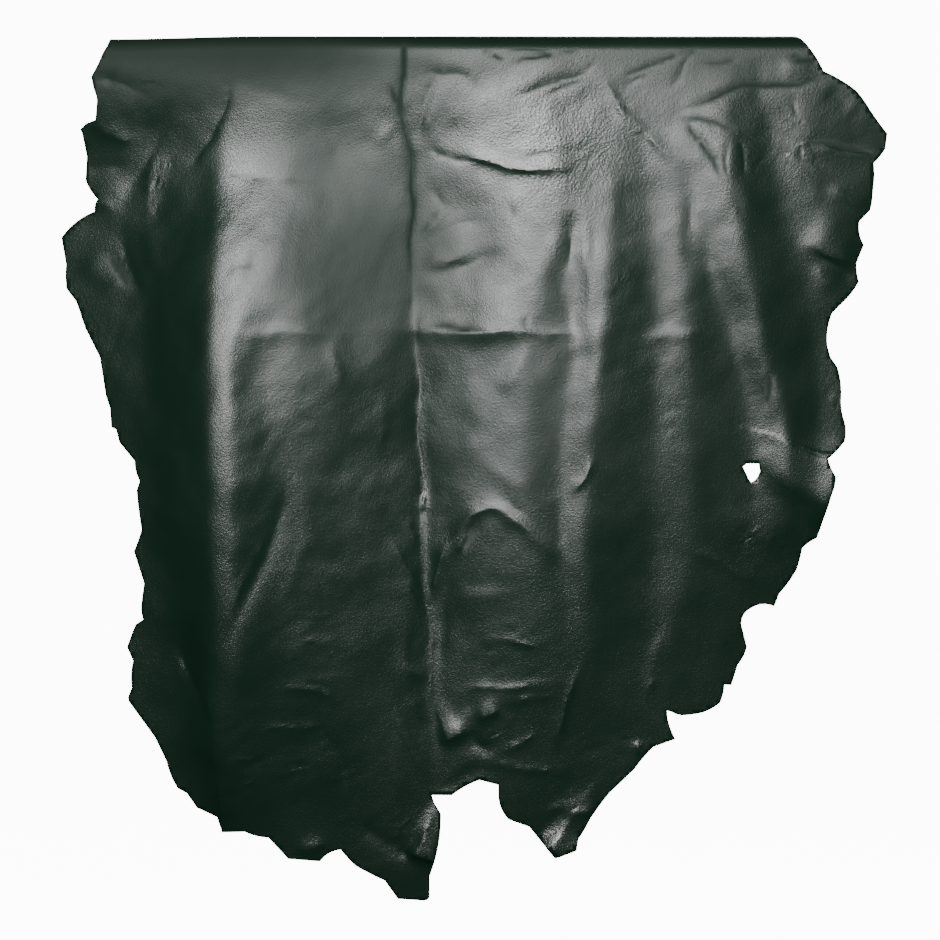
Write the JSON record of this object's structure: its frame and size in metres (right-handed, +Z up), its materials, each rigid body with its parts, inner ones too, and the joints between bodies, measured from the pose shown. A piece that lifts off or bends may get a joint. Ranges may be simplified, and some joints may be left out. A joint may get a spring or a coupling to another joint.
{
  "type": "leather hide",
  "caption": "Whole leather hide hung over a rail: long folded front fall, bend over the rail, short flap behind, ragged natural edge and one torn hole.",
  "frame": {"origin": "the middle of the rail's top line, under the bend of the hide", "axes": "+Z up, +X along the rail to the right as seen from the front, -Y out of the grain side of the front fall"},
  "size_m": [1.9001, 0.1283, 1.9813],
  "materials": {
    "leather": "semi-gloss, lightly grained, dark bottle green"
  },
  "bodies": {
    "root": {"hide": "leather"}
  },
  "joints": []
}
